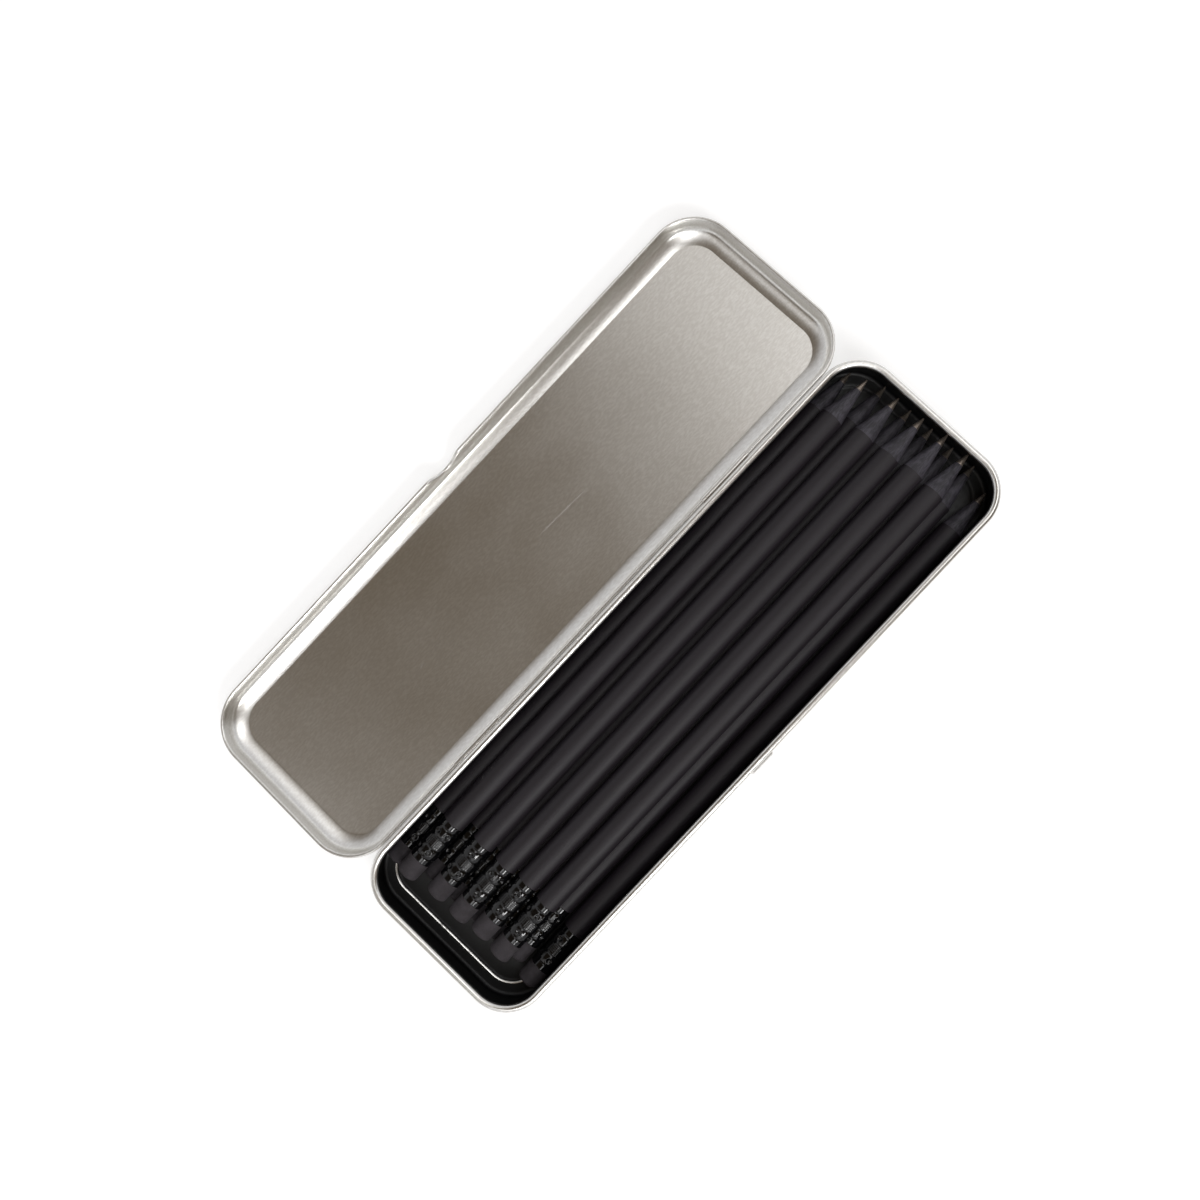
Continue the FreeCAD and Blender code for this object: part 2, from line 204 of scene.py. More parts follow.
def makeBlackLacquer():
    # Stoving lacquer rolled on the sheet before pressing: deep black and satin, with a faint orange peel.
    # Along the pressed edge of the floor it is rubbed through, and a thin bright line of tin shows.
    size = lacquerFinish
    material, tree, shader = newMaterial("blackStovedLacquer")
    place = addNode(tree, "ShaderNodeTexCoord").outputs["Object"]
    peel = stretchedNoise(tree, place, size["peel"], 2.0).outputs["Fac"]
    dust = stretchedNoise(tree, place, (0.35, 0.35, 0.35), 0.0).outputs["Fac"]
    black = colourMix(tree, ramp(tree, dust, 0.72, 0.80, 0.0, 1.0), linearColour(size["colour"]),
                      linearColour("#121111"))
    edge = addNode(tree, "ShaderNodeAttribute", {"attribute_name": "wear"}).outputs["Fac"]
    patchy = stretchedNoise(tree, place, (5.0, 5.0, 5.0), 3.0).outputs["Fac"]
    rubbed = addNode(tree, "ShaderNodeMath", {"operation": "ADD"}, {0: edge, 1: patchy}).outputs["Value"]
    rubbed = ramp(tree, rubbed, 1.28, 1.40, 0.0, 1.0)
    tinColour, tinRoughness = tinplateLook(tree)[:2]
    satin = ramp(tree, peel, 0.3, 0.7, *size["roughness"])
    roughness = addNode(tree, "ShaderNodeMix", inputs={"Factor": rubbed, "A": satin, "B": tinRoughness})
    tree.links.new(colourMix(tree, rubbed, black, tinColour), shader.inputs["Base Color"])
    tree.links.new(rubbed, shader.inputs["Metallic"])
    tree.links.new(roughness.outputs["Result"], shader.inputs["Roughness"])
    tree.links.new(bumpFrom(tree, peel, size["peelDepth"]), shader.inputs["Normal"])
    shader.inputs["IOR"].default_value = 1.45
    return material


paintFinish = {"colour": "#150f15", "roughness": (0.54, 0.60), "speckle": (0.30, 0.22, 0.22), "depth": 0.003}


def makePencilPaint():
    # Matte pencil paint, drawn on through a die in many coats: near black with one broad soft light.
    size = paintFinish
    material, tree, shader = newMaterial("mattePencilPaint")
    place = addNode(tree, "ShaderNodeTexCoord").outputs["Object"]
    speckle = stretchedNoise(tree, place, size["speckle"], 3.0).outputs["Fac"]
    drag = stretchedNoise(tree, place, (24.0, 0.8, 0.8), 2.0).outputs["Fac"]
    colour = colourMix(tree, ramp(tree, drag, 0.35, 0.7, 0.0, 1.0), linearColour(size["colour"]),
                       linearColour("#1b151c"))
    tree.links.new(colour, shader.inputs["Base Color"])
    tree.links.new(ramp(tree, drag, 0.3, 0.7, *size["roughness"]), shader.inputs["Roughness"])
    tree.links.new(bumpFrom(tree, speckle, size["depth"]), shader.inputs["Normal"])
    shader.inputs["IOR"].default_value = 1.5
    return material


def makeDyedWood():
    # Linden wood dyed black right through and cut by a sharpener: dull, with pale fibres along the cone.
    material, tree, shader = newMaterial("blackDyedWood")
    place = addNode(tree, "ShaderNodeTexCoord").outputs["Object"]
    fibre = stretchedNoise(tree, place, (5.0, 0.32, 0.32), 4.0).outputs["Fac"]
    patch = stretchedNoise(tree, place, (3.0, 1.6, 1.6), 2.0).outputs["Fac"]
    both = addNode(tree, "ShaderNodeMath", {"operation": "ADD"}, {0: fibre, 1: patch}).outputs["Value"]
    colour = colourMix(tree, ramp(tree, both, 0.75, 1.3, 0.0, 1.0), linearColour("#2a282d"),
                       linearColour("#46434b"))
    tree.links.new(colour, shader.inputs["Base Color"])
    tree.links.new(bumpFrom(tree, fibre, 0.03), shader.inputs["Normal"])
    shader.inputs["Roughness"].default_value = 0.62
    return material


def makeGraphite():
    # Graphite core, cut to a point: grey-brown with a metallic sheen and fine turning marks.
    material, tree, shader = newMaterial("cutGraphite")
    place = addNode(tree, "ShaderNodeTexCoord").outputs["Object"]
    marks = stretchedNoise(tree, place, (0.18, 1.5, 1.5), 3.0).outputs["Fac"]
    colour = colourMix(tree, ramp(tree, marks, 0.3, 0.7, 0.0, 1.0), linearColour("#7a7068"),
                       linearColour("#a89c90"))
    tree.links.new(colour, shader.inputs["Base Color"])
    tree.links.new(bumpFrom(tree, marks, 0.02), shader.inputs["Normal"])
    shader.inputs["Metallic"].default_value = 0.8
    shader.inputs["Roughness"].default_value = 0.32
    return material


def makeFerruleLacquer():
    # Aluminium sleeve, lacquered gloss black after crimping: small hard glints on every edge.
    material, tree, shader = newMaterial("blackFerruleLacquer")
    place = addNode(tree, "ShaderNodeTexCoord").outputs["Object"]
    pooled = stretchedNoise(tree, place, (0.6, 0.6, 0.6), 2.0).outputs["Fac"]
    colour = colourMix(tree, ramp(tree, pooled, 0.3, 0.7, 0.0, 1.0), linearColour("#050506"),
                       linearColour("#0b0b0d"))
    tree.links.new(colour, shader.inputs["Base Color"])
    tree.links.new(ramp(tree, pooled, 0.3, 0.7, 0.07, 0.12), shader.inputs["Roughness"])
    tree.links.new(bumpFrom(tree, pooled, 0.007), shader.inputs["Normal"])
    shader.inputs["IOR"].default_value = 1.5
    return material


def makeEraserRubber():
    # Vulcanised rubber, ground to size: dull dark grey with a fine grit.
    material, tree, shader = newMaterial("greyEraserRubber")
    place = addNode(tree, "ShaderNodeTexCoord").outputs["Object"]
    grit = stretchedNoise(tree, place, (0.16, 0.16, 0.16), 3.0).outputs["Fac"]
    cloud = stretchedNoise(tree, place, (2.5, 2.5, 2.5), 2.0).outputs["Fac"]
    both = addNode(tree, "ShaderNodeMath", {"operation": "ADD"}, {0: grit, 1: cloud}).outputs["Value"]
    colour = colourMix(tree, ramp(tree, both, 0.75, 1.25, 0.0, 1.0), linearColour("#2e2a2d"),
                       linearColour("#3a363a"))
    tree.links.new(colour, shader.inputs["Base Color"])
    tree.links.new(bumpFrom(tree, grit, 0.02), shader.inputs["Normal"])
    shader.inputs["Roughness"].default_value = 0.88
    return material


tinplate = makeTinplate()
blackLacquer = makeBlackLacquer()
pencilPaint = makePencilPaint()
dyedWood = makeDyedWood()
graphite = makeGraphite()
ferruleLacquer = makeFerruleLacquer()
eraserRubber = makeEraserRubber()
print("finishes made")

# Sheet metal of the tin, in mm. A section is a line of (out, up) points, out from the base's outer face.

tin = {
    "cornerRadius": 12.5,
    "cornerSteps": 28,
    "sheet": 0.3,
    "foldRadius": 1.5,
    "stepInset": 3.4,
    "stepWidth": 1.8,
    "stepHeight": 0.7,
    "flatRim": 0.35,
    "curlRadius": 1.05,
    "curlTurn": 290,
    "lugCentre": -0.2,
    "lugUp": 8.3,
    "lugWidth": 9.4,
    "lugRadius": 1.3,
    "lugStandOut": 1.4,
}
lid = {
    "sideGap": 0.3,
    "foldRadius": 2.6,
    "foldDrop": 1.7,
    "slopeRadius": 12.6,
    "slopeStart": 30,
    "slopeEnd": 14,
    "creaseRadius": 0.8,
    "curlRadius": 0.6,
    "curlTurn": 255,
    "notchCentre": -1.0,
    "notchWidth": 14.0,
    "notchRise": 3.4,
    "notchFlat": 0.8,
}
hinge = {
    "offset": 50.5,
    "length": 18.0,
    "endGap": 0.4,
    "clearance": 0.12,
    "wrap": 290,
    "windowHeight": 1.5,
}

lowCorner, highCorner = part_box("tin_base")
halfLength = highCorner.x / mm
tinHeight = highCorner.z / mm
lidJoint = next(joint for joint in frame["joints"] if joint["name"] == "lid_hinge")
pivotY, pivotZ = lidJoint["pos_m"][1] / mm, lidJoint["pos_m"][2] / mm
openTurn = math.radians(lidJoint["range_deg"][0])
halfWidth = pivotY - lid["sideGap"] - lid["curlRadius"]


def arcPoints(centreOut, centreUp, radius, start, end, steps):
    points = []
    for i in range(steps + 1):
        angle = math.radians(start + (end - start) * i / steps)
        points.append((centreOut + radius * math.cos(angle), centreUp + radius * math.sin(angle)))
    return points


def stepPoints(side, steps=7):  # the floor's step, inward and down; side is +1 for the sheet's upper face
    width, height, half = tin["stepWidth"], tin["stepHeight"], tin["sheet"] / 2
    bend = (width ** 2 + height ** 2) / (4 * height)
    swing = math.degrees(2 * math.atan(height / width))
    inset, ledge = tin["stepInset"], height + half
    first = arcPoints(-inset, ledge - bend, bend + side * half, 90, 90 + swing, steps)
    last = arcPoints(-inset - width, half + bend, bend - side * half, swing - 90, -90, steps)
    return first + last[1:]


def spread(low, high, spacing):
    count = max(1, round((high - low) / spacing))
    return [low + (high - low) * i / count for i in range(count + 1)]


def stationsRound(frontPlaces, rearPlaces):  # places round the tin as x, y and outward direction
    radius = tin["cornerRadius"]
    straightX, straightY = halfLength - radius, halfWidth - radius
    sides = [
        (0, spread(-straightY, straightY, 8.0)),
        (90, sorted(set(spread(-straightX, straightX, 8.0)) | set(-x for x in rearPlaces))),
        (180, spread(-straightY, straightY, 8.0)),
        (270, sorted(set(spread(-straightX, straightX, 8.0)) | set(frontPlaces))),
    ]
    corners = [(straightX, straightY), (-straightX, straightY), (-straightX, -straightY), (straightX, -straightY)]
    stations = []
    for (heading, places), corner in zip(sides, corners):
        angle = math.radians(heading)
        across, along = math.cos(angle), math.sin(angle)
        reach = halfLength if heading % 180 == 0 else halfWidth
        for place in places:
            stations.append((reach * across - place * along, reach * along + place * across, across, along))
        for i in range(1, tin["cornerSteps"]):
            turn = angle + math.pi / 2 * i / tin["cornerSteps"]
            outX, outY = math.cos(turn), math.sin(turn)
            stations.append((corner[0] + radius * outX, corner[1] + radius * outY, outX, outY))
    return stations


def sweepSheet(section, stations, slots, shapeAt, lacquered, worn):
    # Sheet metal swept round the tin, with a panel across each end of the section.
    # slots are cut through the rear wall; lacquered and worn are (first, end) runs of the section,
    # and the wear is only at the end where the pencils' erasers lie
    mesh = bmesh.new()
    wear = mesh.verts.layers.float.new("wear")
    rings = []
    for station in stations:
        x, y, outX, outY = station
        ring = []
        for index, (out, up) in enumerate(section):
            out, up = shapeAt(station, index, out, up)
            vert = mesh.verts.new(((x + outX * out) * mm, (y + outY * out) * mm, up * mm))
            vert[wear] = 1.0 if worn[0] <= index < worn[1] and x < -halfLength / 2 else 0.0
            ring.append(vert)
        rings.append(ring)
    for i, ring in enumerate(rings):
        following = rings[(i + 1) % len(rings)]
        middle = (stations[i][0] + stations[(i + 1) % len(stations)][0]) / 2
        for j in range(len(section) - 1):
            upright = abs(section[j][0] - section[j + 1][0]) < 1e-6
            level = (section[j][1] + section[j + 1][1]) / 2
            cut = upright and stations[i][3] > 0.9 and any(
                low < middle < high and bottom < level < top for low, high, bottom, top in slots)
            if not cut:
                face = mesh.faces.new((ring[j], following[j], following[j + 1], ring[j + 1]))
                face.material_index = 1 if lacquered[0] <= j < lacquered[1] else 0
    mesh.faces.new([ring[0] for ring in reversed(rings)])
    panel = mesh.faces.new([ring[-1] for ring in rings])
    panel.material_index = 1 if lacquered[1] == len(section) else 0
    for low, high, bottom, top in slots:
        edges = [e for e in mesh.edges if len(e.link_faces) == 1
                 and all(low - 0.01 < v.co.x / mm < high + 0.01 for v in e.verts)]
        bmesh.ops.bridge_loops(mesh, edges=edges)
    return mesh


def finishMesh(mesh, name):
    bmesh.ops.recalc_face_normals(mesh, faces=mesh.faces)
    data = bpy.data.meshes.new(name)
    mesh.to_mesh(data)
    mesh.free()
    return data


def softRise(distance, flat, reach):  # 1 up to flat, then an S down to 0 at reach
    if distance <= flat:
        return 1.0
    if distance >= reach:
        return 0.0
    share = (distance - flat) / (reach - flat)
    return 1 - 2 * share ** 2 if share < 0.5 else 2 * (1 - share) ** 2


# Base


def wallLevels(low, high, needed, dense):
    levels = spread(low, high, 1.2) + needed + (spread(dense[0], dense[1], 0.22) if dense else [])
    return sorted(set(round(level, 4) for level in levels if low <= level <= high))


def hingeSpans(gap):
    half = hinge["length"] / 2 + gap
    return [(centre - half, centre + half) for centre in (-hinge["offset"], hinge["offset"])]


def makeBase():
    sheet, fold, height = tin["sheet"], tin["foldRadius"], tin["stepHeight"]
    slotLow = pivotZ - lid["curlRadius"] - hinge["clearance"]
    slotHigh = pivotZ + hinge["windowHeight"]
    curlUp = tinHeight - tin["curlRadius"]
    lugUp, lugReach = tin["lugUp"], tin["lugRadius"] + 0.45
    dense = (lugUp - lugReach - 0.2, lugUp + lugReach + 0.2)
    levels = wallLevels(height + fold, curlUp, [slotLow, slotHigh], dense)
    rimOut = -tin["stepInset"] - tin["stepWidth"] - tin["flatRim"]
    under = [(rimOut, 0.0)] + list(reversed(stepPoints(-1)))
    outer = arcPoints(-fold, height + fold, fold, -90, 0, 8) + [(0.0, level) for level in levels[1:-1]]
    curl = arcPoints(-tin["curlRadius"], curlUp, tin["curlRadius"], 0, tin["curlTurn"], 26)
    rolled = arcPoints(-tin["curlRadius"], curlUp, tin["curlRadius"] - sheet, tin["curlTurn"], 0, 20)
    inner = [(-sheet, level) for level in reversed(levels[1:-1])]
    inner += arcPoints(-fold, height + fold, fold - sheet, 0, -90, 8)
    section = under + outer + curl + rolled + inner + stepPoints(1) + [(rimOut, sheet)]
    insideFrom = len(under + outer + curl + rolled) - 1
    wornFrom = insideFrom + 1 + len(inner)
    lugHalf = tin["lugWidth"] / 2 - tin["lugRadius"]

    def shapeAt(station, index, out, up):
        if station[3] < -0.99 and dense[0] < up < dense[1] and -sheet - 1e-6 <= out <= 1e-6:
            aside = max(0.0, abs(station[0] - tin["lugCentre"]) - lugHalf)
            out += tin["lugStandOut"] * softRise(math.hypot(aside, up - lugUp), 0.3, lugReach)
        return out, up

    lugSpan = tin["lugWidth"] / 2 + 0.8
    front = spread(tin["lugCentre"] - lugSpan, tin["lugCentre"] + lugSpan, 0.25)
    spans = hingeSpans(0.0)
    stations = stationsRound(front, [end for span in spans for end in span])
    slots = [(low, high, slotLow, slotHigh) for low, high in spans]
    mesh = sweepSheet(section, stations, slots, shapeAt, (insideFrom, len(section)), (wornFrom + 3, wornFrom + 7))
    for centre in (-hinge["offset"], hinge["offset"]):
        addTongue(mesh, centre)
    return finishMesh(mesh, "tinBase")


def addTongue(mesh, centre):  # strip of the wall curled round the lid's edge
    inner = lid["curlRadius"] + hinge["clearance"]
    outer = inner + tin["sheet"]
    root = halfWidth - tin["sheet"] - pivotY
    outside = [(root, -outer)] + arcPoints(0, 0, outer, -90, hinge["wrap"] - 90, 26)
    inside = [(root, -inner)] + arcPoints(0, 0, inner, -90, hinge["wrap"] - 90, 26)
    half, softEdge = hinge["length"] / 2, 0.12
    rings = []
    for x, thinner in ((-half, 0.35), (-half + softEdge, 0.0), (half - softEdge, 0.0), (half, 0.35)):
        there = [Vector(a).lerp(Vector(b), thinner) for a, b in zip(outside, inside)]
        back = [Vector(b).lerp(Vector(a), thinner) for a, b in zip(outside, inside)]
        rings.append([mesh.verts.new(((centre + x) * mm, (pivotY + out) * mm, (pivotZ + up) * mm))
                      for out, up in there + back[::-1]])
    count = len(rings[0])
    for a, b in zip(rings, rings[1:]):
        for j in range(count):
            mesh.faces.new((a[j], a[(j + 1) % count], b[(j + 1) % count], b[j]))
    mesh.faces.new(rings[0])
    mesh.faces.new(rings[-1][::-1])


# Lid, shaped closed and then swung open. The skirt folds into a slope that flattens towards the panel.


def lidBends():  # fold, slope and crease as centre, inner radius, first and last slope
    bends = []
    out, up = lid["sideGap"] - lid["foldRadius"], tinHeight - lid["foldDrop"]
    radius, slope = lid["foldRadius"], 90
    following = [(lid["slopeRadius"], lid["slopeStart"]), (lid["creaseRadius"], lid["slopeEnd"]), (None, 0)]
    for nextRadius, nextSlope in following:
        bends.append((out, up, radius, slope, nextSlope))
        if nextRadius:
            angle = math.radians(nextSlope)
            out += math.sin(angle) * (radius - nextRadius)
            up += math.cos(angle) * (radius - nextRadius)
            radius, slope = nextRadius, nextSlope
    return bends


def makeLid():
    sheet = tin["sheet"]
    bends = lidBends()
    foldOut, foldUp, foldRadius = bends[0][:3]
    straight = foldUp - pivotZ
    foldRun = math.radians(90 - lid["slopeStart"]) * foldRadius
    windowHigh = pivotZ + hinge["windowHeight"]
    levels = wallLevels(pivotZ, foldUp, [windowHigh], None)

    def alongSheet(run, thickness):  # place on the skirt and fold, run mm from the curl
        if run <= straight:
            return lid["sideGap"] + thickness, pivotZ + run
        angle = (run - straight) / foldRadius
        reach = foldRadius + thickness
        return foldOut + reach * math.cos(angle), foldUp + reach * math.sin(angle)

    runs = [level - pivotZ for level in levels[1:-1]]
    runs += [straight + foldRun * i / 14 for i in range(15)]
    panelFace = {}
    for thickness in (0.0, sheet):
        points = []
        for (out, up, radius, start, end), steps in zip(bends[1:], (10, 4)):
            points += arcPoints(out, up, radius + thickness, 90 - start, 90 - end, steps)[1:]
        panelFace[thickness] = points + [(points[-1][0] - tin["flatRim"], points[-1][1])]
    curlOut = lid["sideGap"] + lid["curlRadius"]
    curlEnd = 180 + lid["curlTurn"]
    curl = arcPoints(curlOut, pivotZ, lid["curlRadius"], 180, curlEnd, 24)
    rolled = arcPoints(curlOut, pivotZ, lid["curlRadius"] - sheet, curlEnd, 180, 18)
    section = panelFace[0.0][::-1] + [alongSheet(run, 0.0) for run in reversed(runs)] + curl + rolled
    section += [alongSheet(run, sheet) for run in runs] + panelFace[sheet]
    sheetRuns = [None] * len(panelFace[0.0]) + [(run, 0.0) for run in reversed(runs)]
    sheetRuns += ["curl"] * len(curl + rolled) + [(run, sheet) for run in runs] + [None] * len(panelFace[sheet])
    flat, reach = lid["notchFlat"] / 2, lid["notchWidth"] / 2

    def shapeAt(station, index, out, up):
        lift = lid["notchRise"] * softRise(abs(station[0] - lid["notchCentre"]), flat, reach)
        if station[3] > -0.99 or lift == 0 or sheetRuns[index] is None:
            return out, up
        if sheetRuns[index] == "curl":
            here, there = alongSheet(0, 0), alongSheet(lift, 0)
            return out + there[0] - here[0], up + there[1] - here[1]
        run, thickness = sheetRuns[index]
        whole = straight + foldRun
        return alongSheet(lift + run * (whole - lift) / whole, thickness)

    spans = hingeSpans(hinge["endGap"])
    front = spread(lid["notchCentre"] - reach, lid["notchCentre"] + reach, 0.35)
    stations = stationsRound(front, [end for span in spans for end in span])
    windows = [(low, high, pivotZ, windowHigh) for low, high in spans]
    mesh = sweepSheet(section, stations, windows, shapeAt, (0, 0), (0, 0))
    pivot = Vector((0, pivotY * mm, pivotZ * mm))
    axis = Vector(lidJoint["axis"])
    bmesh.ops.rotate(mesh, verts=mesh.verts, cent=pivot, matrix=Matrix.Rotation(-openTurn, 3, axis))
    return finishMesh(mesh, "tinLid")


addPiece("pressed_base", makeBase(), [tinplate, blackLacquer], "tin_base", ["tin_base"])
addPiece("pressed_lid", makeLid(), [tinplate], "tin_lid", ["tin_lid"])
print("tin made")

# Pencils, each turned about its own axis from the eraser to the point

pencil = {
    "bodyRadius": 3.45,
    "neckRadius": 3.10,
    "leadRadius": 1.1,
    "pointRadius": 0.25,
    "coneLength": 14.3,
    "paintEdge": 0.07,
    "glueGap": 0.02,
    "eraserRadius": 3.3,
    "eraserRound": 1.1,
    "eraserStandOut": 6.0,
    "eraserHidden": 6.5,
    "ferruleRadius": 3.5,
    "ferruleDip": 0.17,
    "smoothRing": 1.9,
    "crimpRing": 3.4,
    "fluteBand": 3.3,
    "neckLength": 7.0,
}
ferruleMarks = {"dimples": 6, "dimpleRadius": 0.95, "dimpleDepth": 0.34, "flutes": 40, "fluteDepth": 0.07,
                "ringPitch": 0.56, "groove": 0.10, "grooveWidth": 0.32}
ferruleStart = pencil["eraserStandOut"]
ferruleEnd = ferruleStart + 2 * (pencil["smoothRing"] + pencil["crimpRing"]) + pencil["fluteBand"]


def endOf(node, highEnd):  # middle of a node's end face, in mm
    points = [v.co / mm for v in frame["nodes"][node].data.vertices]
    edge = max(p.x for p in points) if highEnd else min(p.x for p in points)
    near = [p for p in points if abs(p.x - edge) < 0.05]
    middle = [(min(p[k] for p in near) + max(p[k] for p in near)) / 2 for k in range(3)]
    return Vector(middle)


def turnedMesh(profile, segments, closed, shape=None, materialOf=None):
    # profile is (along, radius) points in mm; a closed one is a ring, an open one ends on the axis
    mesh = bmesh.new()
    rings = []
    for along, radius in profile:
        if radius == 0:
            rings.append([mesh.verts.new((along * mm, 0, 0))])
            continue
        ring = []
        for i in range(segments):
            angle = 2 * math.pi * i / segments
            r = shape(along, angle, radius) if shape else radius
            ring.append(mesh.verts.new((along * mm, r * math.cos(angle) * mm, r * math.sin(angle) * mm)))
        rings.append(ring)
    last = len(rings) if closed else len(rings) - 1
    for k in range(last):
        a, b = rings[k], rings[(k + 1) % len(rings)]
        material = materialOf(profile[k], profile[(k + 1) % len(rings)]) if materialOf else 0
        for i in range(segments):
            j = (i + 1) % segments
            if len(a) == 1:
                face = mesh.faces.new((a[0], b[j], b[i]))
            elif len(b) == 1:
                face = mesh.faces.new((a[i], a[j], b[0]))
            else:
                face = mesh.faces.new((a[i], a[j], b[j], b[i]))
            face.material_index = material
    return mesh


def casingMesh(length):
    bore = pencil["leadRadius"] + pencil["glueGap"]
    neck = pencil["neckRadius"] - pencil["glueGap"]
    slope = (pencil["bodyRadius"] - pencil["pointRadius"]) / pencil["coneLength"]
    coneEnd = length - (pencil["leadRadius"] - pencil["pointRadius"]) / slope
    shoulder = length - pencil["coneLength"]
    radius, edge = pencil["bodyRadius"], pencil["paintEdge"]
    start = ferruleEnd - pencil["neckLength"]
    profile = [(start, bore), (start, neck), (ferruleEnd, neck), (ferruleEnd, radius - edge),
               (ferruleEnd + edge, radius)]
    profile += [(x, radius) for x in spread(ferruleEnd + 1, shoulder - 0.3, 20.0)]
    profile += [(shoulder - 0.06, radius), (shoulder, radius - edge)]
    steps = 24
    for i in range(1, steps + 1):
        along = shoulder + (coneEnd - shoulder) * i / steps
        profile.append((along, pencil["pointRadius"] + (length - along) * slope - edge * (1 - i / steps)))
    profile.append((coneEnd, bore))
    phase = random.uniform(0, 6)

    def shaved(along, angle, radius):  # the sharpener leaves shallow flats and a wavy paint edge
        if along <= shoulder - 0.05 or radius == bore:
            return radius
        share = min(1.0, (along - shoulder + 0.06) / 2)
        return radius - 0.035 * share * (1 + math.sin(5 * angle + phase + 0.25 * (along - shoulder)))

    def materialOf(first, second):
        return 1 if min(first[0], second[0]) >= shoulder - 0.07 or second[1] == bore else 0

    return finishMesh(turnedMesh(profile, 64, True, shaved, materialOf), "casing")


def leadMesh(length):
    start = ferruleEnd - pencil["neckLength"]
    slope = (pencil["bodyRadius"] - pencil["pointRadius"]) / pencil["coneLength"]
    coneStart = length - (pencil["leadRadius"] - pencil["pointRadius"]) / slope
    radius, tip = pencil["leadRadius"], pencil["pointRadius"]
    profile = [(start, 0), (start, radius), (coneStart, radius)]
    profile += [(coneStart + (length - 0.2 - coneStart) * i / 8, radius - (radius - tip) * i / 8) for i in range(1, 9)]
    profile += [(length - 0.06, tip * 0.7), (length, 0)]
    return finishMesh(turnedMesh(profile, 32, False), "lead")


def eraserMesh():
    radius, bend, stand = pencil["eraserRadius"], pencil["eraserRound"], pencil["eraserStandOut"]
    neck = pencil["neckRadius"] - pencil["glueGap"]
    profile = [(0, 0)] + [(0, (radius - bend) * i / 4) for i in range(1, 4)]
    profile += [(bend + x, radius - bend + y) for x, y in arcPoints(0, 0, bend, 180, 90, 10)]
    profile += [(stand * 0.6, radius), (stand, radius), (stand, neck)]
    profile += [(stand + pencil["eraserHidden"], neck), (stand + pencil["eraserHidden"], 0)]
    phase = random.uniform(0, 6)

    def worn(along, angle, r):  # ground and slightly uneven
        return r + (0.03 * math.sin(2 * angle + phase) - 0.03 if along < stand - 0.1 else 0.0)

    return finishMesh(turnedMesh(profile, 48, False, worn), "eraser")


def ferruleMesh():
    low = pencil["ferruleRadius"] - pencil["ferruleDip"]
    marks = ferruleMarks
    firstCrimp = ferruleStart + pencil["smoothRing"]
    band = firstCrimp + pencil["crimpRing"]
    secondCrimp = band + pencil["fluteBand"]
    lastRing = secondCrimp + pencil["crimpRing"]
    phases = (random.uniform(0, 6), random.uniform(0, 6))

    def outside(along):
        r = low
        for start in (firstCrimp, secondCrimp):
            if start < along < start + pencil["crimpRing"]:
                share = (along - start) / pencil["crimpRing"]
                r = low + pencil["ferruleDip"] * min(1.0, 4.2 * share * (1 - share))
        if band < along < secondCrimp:
            r = low + 0.07
        for edge in (firstCrimp, band, secondCrimp, lastRing):
            r -= marks["groove"] * math.exp(-((along - edge) / (marks["grooveWidth"] / 2)) ** 2)
        return r

    def shape(along, angle, r):
        if r < low - marks["groove"] - 0.04:
            return r
        for start, phase in ((firstCrimp, phases[0]), (secondCrimp, phases[1])):
            if start < along < start + pencil["crimpRing"]:
                pitch = 2 * math.pi / marks["dimples"]
                aside = ((angle + phase) % pitch - pitch / 2) * low
                away = math.hypot(aside, along - start - pencil["crimpRing"] / 2) / marks["dimpleRadius"]
                punched = math.exp(-(away * 1.5) ** 4)
                lip = math.exp(-((away - 1.0) / 0.2) ** 2)
                r += -marks["dimpleDepth"] * punched + 0.05 * lip
        if band + 0.25 < along < secondCrimp - 0.25:
            fade = min(1.0, (along - band - 0.25) / 0.25, (secondCrimp - 0.25 - along) / 0.25)
            rings = math.cos(2 * math.pi * (along - band) / marks["ringPitch"])
            r += marks["fluteDepth"] * fade * (0.4 * math.cos(marks["flutes"] * angle) + 0.25 * rings - 0.5)
        return r

    stations = spread(ferruleStart + 0.12, ferruleEnd - 0.12, 0.14)
    inner = pencil["neckRadius"]
    profile = [(ferruleStart, inner), (ferruleStart, low - 0.1), (ferruleStart + 0.04, low - 0.03)]
    profile += [(x, outside(x)) for x in stations]
    profile += [(ferruleEnd - 0.04, low - 0.03), (ferruleEnd, low - 0.1), (ferruleEnd, inner)]
    return finishMesh(turnedMesh(profile, 200, True, shape), "ferrule")


def placePencil(name):
    start = endOf(name + "_eraser", False)
    tip = endOf(name + "_lead", True)
    length = (tip - start).length
    along = (tip - start).normalized()
    across = Vector((0, 0, 1)).cross(along).normalized()
    upward = along.cross(across)
    matrix = Matrix((along, across, upward)).transposed().to_4x4()
    matrix.translation = start * mm
    matrix = matrix @ Matrix.Rotation(random.uniform(0, 2 * math.pi), 4, "X")
    made = [
        ("casing", casingMesh(length), [pencilPaint, dyedWood], "black_painted_wood"),
        ("lead", leadMesh(length), [graphite], "graphite"),
        ("ferrule", ferruleMesh(), [ferruleLacquer], "black_lacquered_ferrule"),
        ("eraser", eraserMesh(), [eraserRubber], "grey_rubber"),
    ]
    for kind, mesh, materials, slotName in made:
        mesh.transform(matrix)
        addPiece(name + "_dressed_" + kind, mesh, materials, name, [name + "_" + kind])


random.seed(7)
for body in frame["bodies"]:
    if "pencil" in body:
        placePencil(body)
print("pencils made")

# Room, lamps and camera

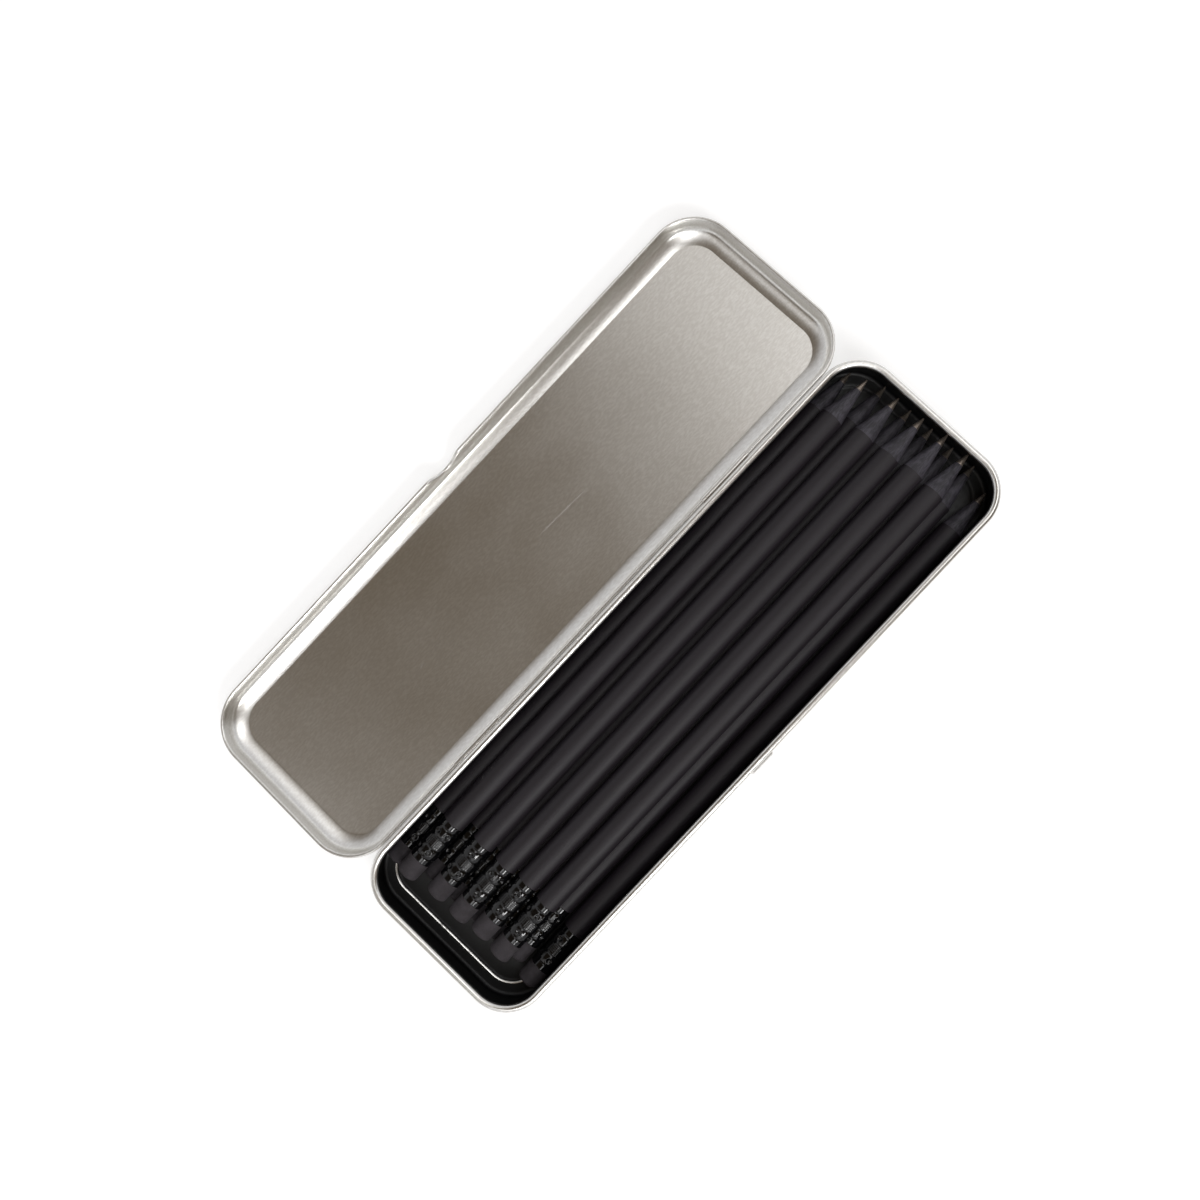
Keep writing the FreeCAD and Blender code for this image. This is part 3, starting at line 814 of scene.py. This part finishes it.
room = {
    "floorColour": "#dcdcdc",
    "floorBoost": 0.48,
    "floorSize": 3.0,
    "walls": "#d8d8da",
    "horizon": "#ffffff",
    "ceiling": "#584a36",
    # darker parts of the room overhead: direction, and cosines where the dark is full and where it ends
    "darkParts": [((-0.06, 0.30, 0.95), 0.92, 0.80), ((0.15, -0.58, 0.80), 0.966, 0.914),
                  ((0.30, -0.85, 0.43), 0.95, 0.86), ((-0.80, 0.10, 0.60), 0.97, 0.92)],
    "lampHeight": 2.0,
}
# softboxes overhead: x and y as shares of the lamp height
lamps = {
    "rightLamp": {"x": (0.23, 0.62), "y": (0.07, 0.66), "brightness": 0.82},
    "rightFrontLamp": {"x": (0.14, 0.62), "y": (-0.26, 0.06), "brightness": 2.4},
    "frontLamp": {"x": (-0.60, -0.08), "y": (-0.42, -0.22), "brightness": 3.2},
    "fillLamp": {"x": (-0.60, -0.08), "y": (-0.54, -0.28), "brightness": 1.1},
    "keyLamp": {"x": (-0.46, -0.06), "y": (-1.25, -0.88), "brightness": 17.0},
    "leftFrontLamp": {"x": (-1.00, -0.42), "y": (-1.20, -0.55), "brightness": 1.0},
    "leftLamp": {"x": (-0.80, -0.55), "y": (-0.15, 0.65), "brightness": 0.9},
}


def makeFloor():
    size = room["floorSize"]
    data = bpy.data.meshes.new("floor")
    corners = [(-size, -size, 0), (size, -size, 0), (size, size, 0), (-size, size, 0)]
    data.from_pydata(corners, [], [(0, 1, 2, 3)])
    floor = bpy.data.objects.new("floor", data)
    scene.collection.objects.link(floor)
    material = bpy.data.materials.new("paleFloor")
    material.use_nodes = True
    tree = material.node_tree
    tree.nodes.clear()
    # matte white card: it takes the shadow, and the camera and reflections see it as plain white
    card = addNode(tree, "ShaderNodeBsdfDiffuse", inputs={"Color": linearColour(room["floorColour"])})
    path = addNode(tree, "ShaderNodeLightPath").outputs
    seen = addNode(tree, "ShaderNodeMath", {"operation": "MAXIMUM"}, {0: path["Is Camera Ray"], 1: path["Is Glossy Ray"]})
    seen = addNode(tree, "ShaderNodeMath", {"operation": "MAXIMUM"},
                   {0: seen.outputs["Value"], 1: path["Is Transmission Ray"]})
    lift = addNode(tree, "ShaderNodeMath", {"operation": "MULTIPLY"}, {0: seen.outputs["Value"], 1: room["floorBoost"]})
    white = addNode(tree, "ShaderNodeEmission", inputs={"Strength": lift.outputs["Value"]})
    both = addNode(tree, "ShaderNodeAddShader", inputs={0: card.outputs["BSDF"], 1: white.outputs["Emission"]})
    addNode(tree, "ShaderNodeOutputMaterial", inputs={"Surface": both.outputs["Shader"]})
    data.materials.append(material)


def makeWorld():
    # pale room: white at table level, light grey walls above, and darker overhead and beside the lamps
    world = bpy.data.worlds.new("studio")
    scene.world = world
    world.use_nodes = True
    tree = world.node_tree
    tree.nodes.clear()
    direction = addNode(tree, "ShaderNodeTexCoord").outputs["Generated"]
    upward = addNode(tree, "ShaderNodeSeparateXYZ", inputs={"Vector": direction}).outputs["Z"]
    colour = colourMix(tree, ramp(tree, upward, 0.10, 0.35, 0.0, 1.0), linearColour(room["horizon"]),
                       linearColour(room["walls"]))
    for axis, full, edge in room["darkParts"]:
        middle = Vector(axis).normalized()
        near = addNode(tree, "ShaderNodeVectorMath", {"operation": "DOT_PRODUCT"}, {0: direction, 1: middle})
        share = ramp(tree, near.outputs["Value"], edge, full, 0.0, 1.0)
        colour = colourMix(tree, share, colour, linearColour(room["ceiling"]))
    # the backdrop itself is plain white
    path = addNode(tree, "ShaderNodeLightPath").outputs
    seen = addNode(tree, "ShaderNodeMath", {"operation": "MAXIMUM"},
                   {0: path["Is Camera Ray"], 1: path["Is Transmission Ray"]})
    colour = colourMix(tree, seen.outputs["Value"], colour, linearColour("#ffffff"))
    sky = addNode(tree, "ShaderNodeBackground", inputs={"Color": colour, "Strength": 1.0})
    addNode(tree, "ShaderNodeOutputWorld", inputs={"Surface": sky.outputs["Background"]})


def addLamp(name, lamp):
    height = room["lampHeight"]
    sizeX, sizeY = ((high - low) * height for low, high in (lamp["x"], lamp["y"]))
    data = bpy.data.lights.new(name, "AREA")
    data.shape = "RECTANGLE"
    data.size, data.size_y = sizeX, sizeY
    data.energy = lamp["brightness"] * math.pi * sizeX * sizeY
    light = bpy.data.objects.new(name, data)
    light.location = (sum(lamp["x"]) / 2 * height, sum(lamp["y"]) / 2 * height, height)
    light.visible_camera = False
    scene.collection.objects.link(light)


viewpoint = {
    "place": (8.74, 12.11, 315.0),
    "tiltX": -3.914,
    "tiltY": -1.278,
    "turn": 46.5 + 0.375,  # the tin lies slantwise in the picture
    "lens": 32.7,
    "sensor": 36.0,
}


def makeCamera():
    turns = [Matrix.Rotation(math.radians(viewpoint[key]), 3, axis)
             for key, axis in (("turn", "Z"), ("tiltY", "Y"), ("tiltX", "X"))]
    toCamera = turns[0] @ turns[1] @ turns[2]
    data = bpy.data.cameras.new("camera")
    data.lens = viewpoint["lens"]
    data.sensor_width = viewpoint["sensor"]
    data.clip_start = 0.01
    camera = bpy.data.objects.new("camera", data)
    camera.matrix_world = Matrix.Translation(Vector(viewpoint["place"]) * mm) @ toCamera.transposed().to_4x4()
    scene.collection.objects.link(camera)
    scene.camera = camera


makeFloor()
makeWorld()
for lampName, lamp in lamps.items():
    addLamp(lampName, lamp)
makeCamera()
scene.view_settings.view_transform = "Standard"
print("room, lamps and camera made")
